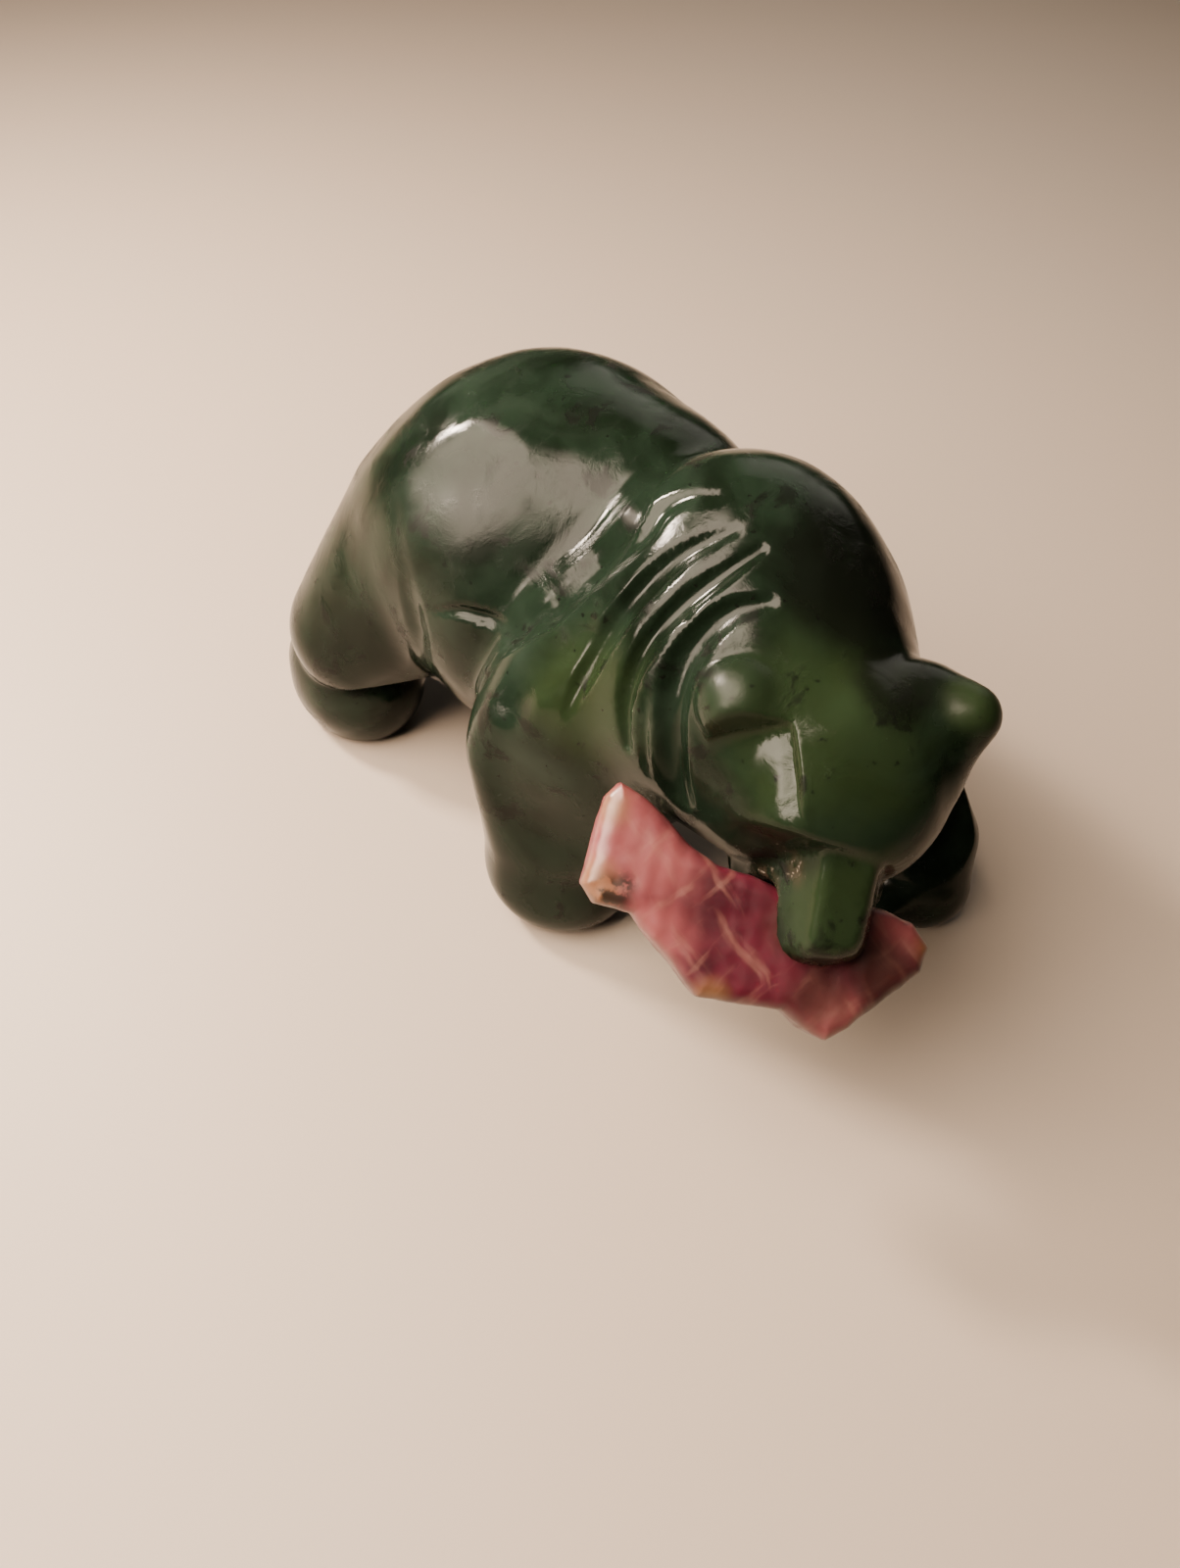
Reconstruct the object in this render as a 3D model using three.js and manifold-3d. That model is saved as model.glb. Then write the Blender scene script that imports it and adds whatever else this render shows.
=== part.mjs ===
// A walking bear carved from one block of jade, with a flat stone fish held crosswise in its mouth.
// Millimetres, +Z up. The bear looks along -Y and its own left side is +X.
// The bear's form is a field of distances: rounded masses joined softly, with folds and hollows cut in.
import * as THREE from 'three';
import { mergeVertices } from 'three/addons/utils/BufferGeometryUtils.js';
import Module from 'manifold-3d';

// Driving dimensions
// The net over the bear is finer from the nose to the shoulders than over the smooth rump
const NET_X = gaps([-40, 50, 2.6]);
const NET_Y = gaps([-70, -4, 2.35], [-4, 62, 3.5]);
const NET_Z = gaps([-4, 12, 3.2], [12, 74, 2.5]);
const SOLE_ROUND = 1.0;
const FOLD_EDGE = 1.2;
const FOLD_STEPS = 4;
// From the point the carving was laid out about to the middle of its footprint
const MIDDLE = [2.9, -3.0, 0];

// Head: its centre, and its turn to the right, its nod and its tilt in degrees
const HEAD_AT = [2.4, -40.8, 45.0];
const HEAD_TURN = -29.5;
const HEAD_NOD = 26;
const HEAD_TILT = 2;
const SKULL = [13.4, 13.8, 12.8];
const SNOUT_MIDDLE = 0.4;
const SNOUT_TOP_HALF = 2.2;
const SNOUT_HALF = 5.8;

// Fish: a slab, nodding a little more than the head
const FISH_NOD = 35;
const FISH_IN_HEAD = [0, -15, -6.5];
const FISH_THICK = 6.4;
const FISH_ROUND = 2.0;
const FISH_EDGE = 1.2;
const FISH_GAP = 0.3;
const FISH_STEPS = 56;

// Folds and hollows: points along the middle of each cutter, and the cutter's radius at each point
const FOLDS = [
  // the deep valley between rump and right shoulder, down to the elbow
  {
    at: [
      [1, -5, 61], [-5.5, -8.5, 60], [-10.5, -8, 54.5],
      [-15, -6.5, 50], [-18, -1.5, 41.5], [-19.5, 2, 29],
    ],
    r: [0.8, 2.8, 4.2, 4.6, 4.0, 2.4],
  },
  // five folds of the neck, from the hump to the crease behind the head
  {
    at: [[0, -17, 66], [-2, -14.5, 65], [-4.5, -13, 63], [-7, -13.5, 60.5], [-11, -12, 55.5]],
    r: [0.6, 1.6, 2.1, 2.0, 1.4],
  },
  {
    at: [
      [-1, -22, 65], [-4, -20, 64], [-7, -19.5, 61.5],
      [-10, -20, 58.5], [-12.5, -20, 55.5], [-16.5, -17.5, 48.5],
    ],
    r: [0.6, 1.6, 2.2, 2.2, 2.0, 1.2],
  },
  {
    at: [
      [0, -25.5, 64.5], [-3.5, -24.5, 63.5], [-7.5, -24, 61],
      [-11.5, -24, 57], [-14.5, -24, 52], [-16, -25.5, 46],
    ],
    r: [0.6, 1.5, 2.0, 2.1, 1.8, 1.2],
  },
  {
    at: [[-5, -26, 62], [-9, -25.5, 59], [-12.5, -26.5, 55.5], [-14.5, -28, 50.5], [-15, -30.5, 42]],
    r: [0.6, 1.3, 1.6, 1.6, 1.2],
  },
  {
    at: [
      [-2, -31, 62], [-5.5, -29, 61], [-9, -28.5, 58.5],
      [-11.5, -30, 55], [-13.5, -32, 49.5], [-13.5, -34.5, 41.5],
    ],
    r: [0.8, 1.8, 2.4, 2.4, 2.4, 2.0],
  },
  // leaf-shaped hollows of the right thigh and the right shoulder
  {
    at: [[-22, 18.5, 48.5], [-24, 15.5, 46], [-25, 12, 42], [-24, 10, 34], [-22.5, 11.5, 25]],
    r: [0.8, 3.0, 3.6, 3.2, 1.8],
  },
  {
    at: [[-13.5, -16.5, 53.5], [-18.5, -15.5, 49.5], [-22, -15, 45], [-24.5, -16, 40.5], [-25, -17.5, 37]],
    r: [0.8, 3.4, 4.2, 3.6, 1.4],
  },
  // the plainer left side: valley, two folds and the thigh's hollow
  {
    at: [[13.5, -3.5, 59], [21, -3, 53], [25.5, -2, 45.5], [26.5, -1, 37], [24.5, 0, 29]],
    r: [0.8, 2.8, 4.0, 4.2, 3.0],
  },
  {
    at: [[26, -16.5, 53], [28.5, -15.5, 48], [31, -14.5, 42]],
    r: [0.8, 1.9, 0.9],
  },
  {
    at: [[24.5, -26, 51.5], [27, -25.5, 47], [30, -26, 42.5]],
    r: [0.8, 1.9, 0.9],
  },
  {
    at: [[25, 24, 46.5], [29, 22, 40.5], [29.5, 20, 32], [27, 18.5, 24.5]],
    r: [0.8, 3.0, 3.4, 1.6],
  },
];

// Outline of the fish, from the tail's upper tip round by the head and back
const FISH_OUTLINE = [
  [-22.7, 13.9], [-20.5, 12.6], [-17.4, 9.8], [-14.7, 6.9], [-12.0, 4.9], [-8.0, 3.9], [-2.3, 1.2], [3.0, 0.6],
  [7.0, 0.2], [10.2, -1.3], [12.0, -4.0], [11.0, -6.8], [6.4, -10.1], [2.6, -12.8], [0.0, -14.1], [-2.4, -12.9],
  [-4.8, -10.9], [-10.2, -10.1], [-14.2, -9.3], [-16.7, -6.1], [-19.4, -3.2], [-21.2, -0.4], [-25.4, 0.6],
  [-26.9, 2.8], [-25.6, 7.6], [-24.3, 12.4],
];

// Even gaps from each low to its high, no wider than the wanted step
function gaps(...spans) {
  const out = [spans[0][0]];
  for (const [low, high, step] of spans) {
    const count = Math.ceil((high - low) / step);
    for (let i = 1; i <= count; i += 1) out.push(low + ((high - low) * i) / count);
  }
  return out;
}

// Vectors as plain triples
const minus = (a, b) => [a[0] - b[0], a[1] - b[1], a[2] - b[2]];
const dot = (a, b) => a[0] * b[0] + a[1] * b[1] + a[2] * b[2];
const unit = (a) => {
  const l = Math.hypot(a[0], a[1], a[2]);
  return [a[0] / l, a[1] / l, a[2] / l];
};

// A turn about +Z, then a nod about the turned x axis, then a tilt about the nodded y axis
function turned(turn, nod, tilt) {
  const rad = THREE.MathUtils.degToRad;
  return new THREE.Matrix4().makeRotationFromEuler(new THREE.Euler(rad(nod), rad(tilt), rad(turn), 'ZXY'));
}

function axesOf(matrix) {
  const axes = [new THREE.Vector3(), new THREE.Vector3(), new THREE.Vector3()];
  matrix.extractBasis(axes[0], axes[1], axes[2]);
  return axes.map((v) => v.toArray());
}

const HEAD_MATRIX = turned(HEAD_TURN, HEAD_NOD, HEAD_TILT);
const HEAD_AXES = axesOf(HEAD_MATRIX);
const FISH_MATRIX = turned(HEAD_TURN, FISH_NOD, HEAD_TILT);

function inHead(p) {
  const d = minus(p, HEAD_AT);
  return [dot(d, HEAD_AXES[0]), dot(d, HEAD_AXES[1]), dot(d, HEAD_AXES[2])];
}

// Distance fields of the basic masses: negative inside
function ball(p, at, r) {
  const x = (p[0] - at[0]) / r[0];
  const y = (p[1] - at[1]) / r[1];
  const z = (p[2] - at[2]) / r[2];
  const k0 = Math.hypot(x, y, z);
  const k1 = Math.hypot(x / r[0], y / r[1], z / r[2]);
  return (k0 * (k0 - 1)) / Math.max(k1, 1e-6);
}

// A limb with round ends, tapering from radius ra at a to rb at b
function limb(p, a, b, ra, rb) {
  const ba = minus(b, a);
  const pa = minus(p, a);
  const l2 = dot(ba, ba);
  const rr = ra - rb;
  const a2 = Math.max(l2 - rr * rr, 0);
  const y = dot(pa, ba);
  const z = y - l2;
  const wx = pa[0] * l2 - ba[0] * y;
  const wy = pa[1] * l2 - ba[1] * y;
  const wz = pa[2] * l2 - ba[2] * y;
  const x2 = wx * wx + wy * wy + wz * wz;
  const y2 = y * y * l2;
  const z2 = z * z * l2;
  const k = Math.sign(rr) * rr * rr * x2;
  if (Math.sign(z) * a2 * z2 > k) return Math.sqrt(x2 + z2) / l2 - rb;
  if (Math.sign(y) * a2 * y2 < k) return Math.sqrt(x2 + y2) / l2 - ra;
  return (Math.sqrt((x2 * a2) / l2) + y * rr) / l2 - ra;
}

function plane(p, at, normal) {
  return dot(minus(p, at), unit(normal));
}

// Soft union and soft intersection, k millimetres wide
function join(a, b, k) {
  const h = Math.max(k - Math.abs(a - b), 0) / k;
  return Math.min(a, b) - h * h * k * 0.25;
}

const meet = (a, b, k) => -join(-a, -b, k);

// Each fold becomes a smooth run of short limbs, with a sphere round it that tells when a point is near
const CUTTERS = FOLDS.map(({ at, r }) => {
  const curve = new THREE.CatmullRomCurve3(at.map((q) => new THREE.Vector3(...q)), false, 'catmullrom', 0.5);
  const count = (at.length - 1) * FOLD_STEPS;
  const points = curve.getPoints(count).map((v) => v.toArray());
  const radii = points.map((q, i) => {
    const t = (i / count) * (at.length - 1);
    const j = Math.min(Math.floor(t), at.length - 2);
    return r[j] + (r[j + 1] - r[j]) * (t - j);
  });
  const middle = new THREE.Box3().setFromPoints(points.map((q) => new THREE.Vector3(...q)))
    .getCenter(new THREE.Vector3()).toArray();
  const reach = Math.max(...points.map((q, i) => Math.hypot(...minus(q, middle)) + radii[i]));
  return { points, radii, middle, reach };
});

function fold(p, cutter) {
  const away = Math.hypot(...minus(p, cutter.middle)) - cutter.reach;
  if (away > 3) return away;
  let d = 1e9;
  for (let i = 0; i + 1 < cutter.points.length; i += 1) {
    d = Math.min(d, limb(p, cutter.points[i], cutter.points[i + 1], cutter.radii[i], cutter.radii[i + 1]));
  }
  return d;
}

// Rump, thighs and belly, with the underside cut to an arch that overhangs the hind feet like a rim
function rear(p) {
  let d = ball(p, [1.3, 17.8, 37.9], [25.4, 24.5, 23.1]);
  d = join(d, limb(p, [-7.8, 26.3, 33.1], [-23.3, 31.3, 18.1], 17.8, 11.0), 4);
  d = join(d, limb(p, [9, 24, 33], [20, 37, 18.3], 19.0, 12.0), 4);
  d = join(d, ball(p, [7.9, 2.7, 39.1], [17.4, 17.2, 20.8]), 6);
  const rightRim = plane(p, [-33, 35, 12.3], [0.24, -0.05, -1]);
  const leftRim = plane(p, [32, 40, 12.3], [-0.24, -0.05, -1]);
  d = meet(d, join(rightRim, leftRim, 4), 1.2);
  return join(d, ball(p, [-3.0, 7.2, 29.0], [16.4, 14.5, 15.0]), 9);
}

function shoulders(p) {
  let d = ball(p, [6.2, -17.5, 42.5], [19.8, 19.7, 24.3]);
  d = join(d, ball(p, [-8.5, -11.5, 33], [13, 15, 18]), 7);
  return join(d, ball(p, [20.6, -18.8, 33.4], [13, 15, 17]), 6);
}

function hindFeet(p) {
  const right = ball(p, [-24.3, 33.6, 7.5], [10.4, 12.3, 11.7]);
  const left = ball(p, [21.0, 43.0, 7.5], [10.4, 12.3, 11.7]);
  return Math.min(right, left);
}

function rightForeleg(p) {
  const leg = limb(p, [-12.5, -13.5, 28.9], [-14.6, -12.6, 9.0], 14.0, 9.4);
  return join(leg, ball(p, [-13.8, -15.3, 6.0], [10.3, 9.9, 8.2]), 4);
}

function leftForeleg(p) {
  let d = limb(p, [22, -22, 32], [32.3, -38.0, 10.4], 12, 8.2);
  d = join(d, ball(p, [31.1, -39.5, 5.0], [7.7, 9.4, 8.4]), 3);
  return join(d, limb(p, [28, -41, 5], [23.5, -42, 4.5], 5.0, 3.6), 2);
}

// Head, in its own frame: -y is the nose, +z the crown
function head(p) {
  const q = inHead(p);
  let d = ball(q, [0, 0, 0], SKULL);
  for (const side of [-1, 1]) {
    // the dished side of the face, which stops under the brow
    const n = unit([side * 0.72, -0.38, 0.58]);
    const reach = 29.6;
    const dish = ball(q, [n[0] * reach, n[1] * reach, n[2] * reach], [18, 18, 18]);
    const brow = plane(q, [side * 9.5, -3, 10.6], [side * 0.15, 0.42, 0.9]);
    d = meet(d, -meet(dish, brow, 0.5), 0.6);
  }
  // lower face, set back under the dome
  d = join(d, limb(q, [0, -2, -5], [0, -8, -5], 9.8, 7.0), 2);
  // box-shaped snout: sloping top, two bevelled cheeks, a rounded front and a flat chin
  let s = plane(q, [0, -11.8, 3.3], [0, -0.4, 0.9]);
  for (const side of [-1, 1]) {
    s = meet(s, plane(q, [SNOUT_MIDDLE + side * SNOUT_TOP_HALF, 0, 2], [side * 0.8, 0, 0.6]), 0.8);
    s = meet(s, plane(q, [SNOUT_MIDDLE + side * SNOUT_HALF, 0, -3], [side, 0, 0]), 1.5);
  }
  s = meet(s, ball(q, [SNOUT_MIDDLE, -9, -3], [9.8, 11.6, 14]), 1.0);
  s = meet(s, plane(q, [0, 0, -12.5], [0, 0.35, -1]), 2);
  d = join(d, s, 0.8);
  for (const side of [-1, 1]) {
    const lobe = limb(q, [side * 8.6, 4.6, 4.6], [side * 11.5, 4.2, 8.7], 6.6, 4.5);
    const cup = ball(q, [side * 12.6, -1.4, 9.6], [3.0, 3.0, 3.6]);
    d = join(d, meet(lobe, -cup, 1.2), 1.4);
  }
  return d;
}

function bearField(p) {
  let d = join(rear(p), shoulders(p), 3);
  d = join(d, hindFeet(p), 0.8);
  d = join(d, rightForeleg(p), 4);
  d = join(d, leftForeleg(p), 4);
  d = join(d, limb(p, [4, -24, 44], [3, -35, 43], 19.5, 15), 3);
  for (const cutter of CUTTERS) {
    d = meet(d, -fold(p, cutter), FOLD_EDGE);
  }
  d = join(d, head(p), 0.8);
  // flat soles
  return meet(d, -p[2], SOLE_ROUND);
}

// Which way the field grows at a point
function slope(field, p) {
  const e = 0.05;
  const gx = field([p[0] + e, p[1], p[2]]) - field([p[0] - e, p[1], p[2]]);
  const gy = field([p[0], p[1] + e, p[2]]) - field([p[0], p[1] - e, p[2]]);
  const gz = field([p[0], p[1], p[2] + e]) - field([p[0], p[1], p[2] - e]);
  return [gx / (2 * e), gy / (2 * e), gz / (2 * e)];
}

function settle(field, point, furthest) {
  const p = [...point];
  for (let i = 0; i < 4; i += 1) {
    const g = slope(field, p);
    const s = -field(p) / Math.max(dot(g, g), 0.1);
    p[0] += g[0] * s;
    p[1] += g[1] * s;
    p[2] += g[2] * s;
  }
  const moved = minus(p, point);
  const far = Math.hypot(...moved);
  const keep = far > furthest ? furthest / far : 1;
  return [point[0] + moved[0] * keep, point[1] + moved[1] * keep, point[2] + moved[2] * keep];
}

// A net of four-sided facets over the field's surface: one point in each cell that the surface crosses
function net(field, xs, ys, zs) {
  const n = [xs.length, ys.length, zs.length];
  const at = (i, j, k) => (k * n[1] + j) * n[0] + i;
  const value = new Float64Array(n[0] * n[1] * n[2]);
  for (let k = 0; k < n[2]; k += 1) {
    for (let j = 0; j < n[1]; j += 1) {
      for (let i = 0; i < n[0]; i += 1) value[at(i, j, k)] = field([xs[i], ys[j], zs[k]]);
    }
  }
  closeCorners(value, n, at);
  const points = [];
  const cell = new Map();
  const corners = [];
  for (let c = 0; c < 8; c += 1) corners.push([c & 1, (c >> 1) & 1, (c >> 2) & 1]);
  for (let k = 0; k + 1 < n[2]; k += 1) {
    for (let j = 0; j + 1 < n[1]; j += 1) {
      for (let i = 0; i + 1 < n[0]; i += 1) {
        const v = corners.map((c) => value[at(i + c[0], j + c[1], k + c[2])]);
        if (v.every((x) => x < 0) || v.every((x) => x >= 0)) continue;
        const sum = [0, 0, 0];
        let count = 0;
        for (let a = 0; a < 8; a += 1) {
          for (const bit of [1, 2, 4]) {
            const b = a | bit;
            if (b === a || (v[a] < 0) === (v[b] < 0)) continue;
            const t = v[a] / (v[a] - v[b]);
            for (let m = 0; m < 3; m += 1) sum[m] += corners[a][m] + t * (corners[b][m] - corners[a][m]);
            count += 1;
          }
        }
        const size = [xs[i + 1] - xs[i], ys[j + 1] - ys[j], zs[k + 1] - zs[k]];
        const p = [xs[i], ys[j], zs[k]].map((g, m) => g + (sum[m] / count) * size[m]);
        cell.set(at(i, j, k), points.length);
        points.push(settle(field, p, 0.5 * Math.min(...size)));
      }
    }
  }
  const triangles = [];
  const addQuad = (q, flip) => {
    const [a, b, c, d] = flip ? [q[3], q[2], q[1], q[0]] : q;
    const half = (s, t) => Math.abs(field([0, 1, 2].map((m) => (points[s][m] + points[t][m]) / 2)));
    if (half(a, c) <= half(b, d)) triangles.push(a, b, c, a, c, d);
    else triangles.push(b, c, d, b, d, a);
  };
  for (let k = 1; k + 1 < n[2]; k += 1) {
    for (let j = 1; j + 1 < n[1]; j += 1) {
      for (let i = 1; i + 1 < n[0]; i += 1) {
        const here = value[at(i, j, k)] < 0;
        const id = (di, dj, dk) => cell.get(at(i - di, j - dj, k - dk));
        if (here !== value[at(i + 1, j, k)] < 0) {
          addQuad([id(0, 1, 1), id(0, 0, 1), id(0, 0, 0), id(0, 1, 0)], !here);
        }
        if (here !== value[at(i, j + 1, k)] < 0) {
          addQuad([id(1, 0, 1), id(1, 0, 0), id(0, 0, 0), id(0, 0, 1)], !here);
        }
        if (here !== value[at(i, j, k + 1)] < 0) {
          addQuad([id(1, 1, 0), id(0, 1, 0), id(0, 0, 0), id(1, 0, 0)], !here);
        }
      }
    }
  }
  return { points: new Float32Array(points.flat()), triangles: new Uint32Array(triangles) };
}

// Where inside and outside alternate round a face of the grid, the net would meet itself along an edge.
// The outside corner nearest the surface is filled there, until no face is left like that.
function closeCorners(value, n, at) {
  for (let changed = true; changed;) {
    changed = false;
    for (let k = 0; k + 1 < n[2]; k += 1) {
      for (let j = 0; j + 1 < n[1]; j += 1) {
        for (let i = 0; i + 1 < n[0]; i += 1) {
          const faces = [
            [at(i, j, k), at(i + 1, j, k), at(i + 1, j + 1, k), at(i, j + 1, k)],
            [at(i, j, k), at(i + 1, j, k), at(i + 1, j, k + 1), at(i, j, k + 1)],
            [at(i, j, k), at(i, j + 1, k), at(i, j + 1, k + 1), at(i, j, k + 1)],
          ];
          for (const f of faces) {
            const s = f.map((c) => value[c] < 0);
            if (s[0] !== s[2] || s[1] !== s[3] || s[0] === s[1]) continue;
            const open = f.filter((c) => value[c] >= 0);
            value[value[open[0]] < value[open[1]] ? open[0] : open[1]] = -0.01;
            changed = true;
          }
        }
      }
    }
  }
}

// The fish's slab, rounded at both faces, made thicker and wider all round by grow
function fishSlab(grow) {
  const corners = FISH_OUTLINE.map(([x, y]) => new THREE.Vector3(x, y, 0));
  const outline = new THREE.CatmullRomCurve3(corners, true, 'centripetal').getPoints(FISH_STEPS).slice(0, -1);
  const depth = FISH_THICK - 2 * FISH_ROUND;
  const slab = new THREE.ExtrudeGeometry(new THREE.Shape(outline.map((q) => new THREE.Vector2(q.x, q.y))), {
    depth,
    bevelEnabled: true,
    bevelThickness: FISH_ROUND + grow,
    bevelSize: FISH_EDGE,
    bevelOffset: grow - FISH_EDGE,
    bevelSegments: 2,
    curveSegments: 1,
  });
  slab.translate(0, 0, -depth / 2);
  slab.deleteAttribute('normal');
  slab.deleteAttribute('uv');
  return mergeVertices(slab, 1e-4);
}

// The fish's middle
const FISH_AT = [0, 1, 2].map((m) => HEAD_AT[m] + FISH_IN_HEAD[0] * HEAD_AXES[0][m]
  + FISH_IN_HEAD[1] * HEAD_AXES[1][m] + FISH_IN_HEAD[2] * HEAD_AXES[2][m]);
const fishPlace = FISH_MATRIX.clone().setPosition(...FISH_AT);

const wasm = await Module();
wasm.setup();

function solidOf(points, triangles) {
  return new wasm.Manifold(new wasm.Mesh({ numProp: 3, vertProperties: points, triVerts: triangles }));
}

function geometryOf(solid) {
  const mesh = solid.getMesh();
  const geometry = new THREE.BufferGeometry();
  geometry.setAttribute('position', new THREE.BufferAttribute(new Float32Array(mesh.vertProperties), 3));
  geometry.setIndex(new THREE.BufferAttribute(new Uint32Array(mesh.triVerts), 1));
  geometry.computeVertexNormals();
  return geometry;
}

const bearNet = net(bearField, NET_X, NET_Y, NET_Z);
const mouth = fishSlab(FISH_GAP).applyMatrix4(fishPlace);
const bearSolid = solidOf(bearNet.points, bearNet.triangles)
  .subtract(solidOf(new Float32Array(mouth.attributes.position.array), new Uint32Array(mouth.index.array)));

const bear = new THREE.Mesh(
  geometryOf(bearSolid),
  new THREE.MeshStandardMaterial({ color: 0x2f4a30, roughness: 0.14, metalness: 0 }),
);
bear.name = 'bear';

const fish = new THREE.Mesh(
  fishSlab(0),
  new THREE.MeshStandardMaterial({ color: 0xc4616f, roughness: 0.3, metalness: 0 }),
);
fish.name = 'fish';
fish.position.set(...FISH_AT);
fish.quaternion.setFromRotationMatrix(FISH_MATRIX);

const carving = new THREE.Group();
carving.position.set(-MIDDLE[0], -MIDDLE[1], -MIDDLE[2]);
carving.add(bear, fish);

export default carving;
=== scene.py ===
"""A walking bear carved and polished from mottled green nephrite jade, with a stone fish in its mouth.

The two solids of the frame hold the form at its real size. Each piece here is a fine copy of its solid,
carved closer: its points settle on a field of distances made of the same rounded masses and folds, with
the narrower creases, facets and dents that the real carving shows.
"""
import logging
import math
from dataclasses import dataclass
from enum import Enum
from typing import Protocol

import bmesh
import bpy
import numpy as np
from mathutils import Matrix, Vector


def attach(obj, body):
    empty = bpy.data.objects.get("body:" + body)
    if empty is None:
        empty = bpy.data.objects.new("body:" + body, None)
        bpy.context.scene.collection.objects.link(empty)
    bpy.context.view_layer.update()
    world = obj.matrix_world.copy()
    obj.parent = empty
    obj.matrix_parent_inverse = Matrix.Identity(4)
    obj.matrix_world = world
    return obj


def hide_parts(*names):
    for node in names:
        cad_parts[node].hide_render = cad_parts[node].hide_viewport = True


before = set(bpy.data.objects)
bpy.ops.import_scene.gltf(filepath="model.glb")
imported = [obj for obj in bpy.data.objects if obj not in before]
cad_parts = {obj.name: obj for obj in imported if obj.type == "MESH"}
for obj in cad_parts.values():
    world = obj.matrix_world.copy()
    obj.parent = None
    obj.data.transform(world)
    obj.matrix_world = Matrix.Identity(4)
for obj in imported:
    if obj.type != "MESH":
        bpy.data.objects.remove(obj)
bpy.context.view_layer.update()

logging.basicConfig(level=logging.INFO, format="%(name)s: %(message)s")
LOG = logging.getLogger("bear_carving")

MM = 0.001
BODY = "root"
# The carving was laid out in millimetres about this point, which is the middle of its footprint
LAYOUT_MIDDLE = (2.9, -3.0, 0.0)
SEED = 11

# The furthest that a point may move while it settles, and how far apart the field is sampled for it
FURTHEST = 1.5
SETTLE_REACH = 0.04
# The wider sampling that the shading's normals come from, which rounds thin creases a little
SHADE_REACH = 0.12
# Where the body's core line crosses y = 0: strokes are lifted away from it
CORE = (5.0, 0.0, 36.0)

Array = np.ndarray
Place = tuple[float, float, float]
# An ellipsoid: its middle and half-sizes
Mass = tuple[Place, Place]
# A flat cut: a point on it and the way it faces
Flat = tuple[Place, Place]
# A limb with round ends: the middle of each end and the radius of each
Limb = tuple[Place, Place, float, float]
# A patch on the stone: its middle, reach and softness
Patch = tuple[Place, float, float]
# A spot on the slab: along it, across it, reach and softness
Spot = tuple[float, float, float, float]
# How veins run: how many times longer along each axis, how far apart their bends are, and how deep
Bends = tuple[Place, float, float]
Socket = bpy.types.NodeSocket


class Slot(Enum):
    """The record's material slots."""

    NEPHRITE = "green_nephrite"
    RHODONITE = "pink_rhodonite"


# Fields of distance, in millimetres, negative inside the stone


class Form(Protocol):
    """Anything that a mesh can be carved to."""

    def field(self, p: Array) -> Array:
        """Distances from points to the form's surface, negative inside."""


def length(v: Array) -> Array:
    """Lengths of the rows of v."""
    return np.sqrt(np.einsum("ij,ij->i", v, v))


def join(a: Array, b: Array, k: float) -> Array:
    """Soft union of two fields.

    Args:
        a: distances to the first form.
        b: distances to the second form.
        k: width of the soft seam.

    Returns:
        Distances to both forms together.
    """
    if k <= 0:
        return np.minimum(a, b)
    h = np.maximum(k - np.abs(a - b), 0) / k
    return np.minimum(a, b) - h * h * k * 0.25


def meet(a: Array, b: Array, k: float) -> Array:
    """Soft intersection of two fields, k wide at the edge."""
    return -join(-a, -b, k)


def ball(p: Array, at: Place, r: Place) -> Array:
    """Distances to an ellipsoid.

    Args:
        p: points.
        at: its middle.
        r: its half-sizes.

    Returns:
        Distances, close to true near its surface.
    """
    q = (p - np.float32(at)) / np.float32(r)
    k0 = length(q)
    k1 = length(q / np.float32(r))
    return k0 * (k0 - 1) / np.maximum(k1, 1e-6)


def plane(p: Array, at: Place, normal: Place) -> Array:
    """Distances in front of a plane through at."""
    n = np.float32(normal)
    return (p - np.float32(at)) @ (n / np.linalg.norm(n))


def limb(p: Array, a: Place, b: Place, ra: float, rb: float) -> Array:
    """Distances to a limb with round ends.

    Args:
        p: points.
        a: middle of the first end.
        b: middle of the second end.
        ra: radius at a.
        rb: radius at b.

    Returns:
        Distances to the limb.
    """
    a = np.float32(a)
    ba = np.float32(b) - a
    pa = p - a
    l2 = float(ba @ ba)
    rr = ra - rb
    a2 = max(l2 - rr * rr, 0.0)
    y = pa @ ba
    z = y - l2
    w = pa * np.float32(l2) - ba * y[:, None]
    x2 = np.einsum("ij,ij->i", w, w)
    y2 = y * y * l2
    z2 = z * z * l2
    k = np.sign(rr) * rr * rr * x2
    side = (np.sqrt(x2 * (a2 / l2)) + y * rr) / l2 - ra
    near_a = np.sqrt(x2 + y2) / l2 - ra
    near_b = np.sqrt(x2 + z2) / l2 - rb
    return np.where(np.sign(z) * a2 * z2 > k, near_b, np.where(np.sign(y) * a2 * y2 < k, near_a, side))


def turned(turn: float, nod: float, tilt: float) -> Array:
    """Axes turned about +Z, then nodding about their x, then tilted about their y.

    Args:
        turn: degrees about +Z.
        nod: degrees about x.
        tilt: degrees about y.

    Returns:
        The axes, as columns.
    """
    around = Matrix.Rotation(math.radians(turn), 3, "Z")
    nodding = Matrix.Rotation(math.radians(nod), 3, "X")
    tilting = Matrix.Rotation(math.radians(tilt), 3, "Y")
    return np.array(around @ nodding @ tilting, np.float32)


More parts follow.
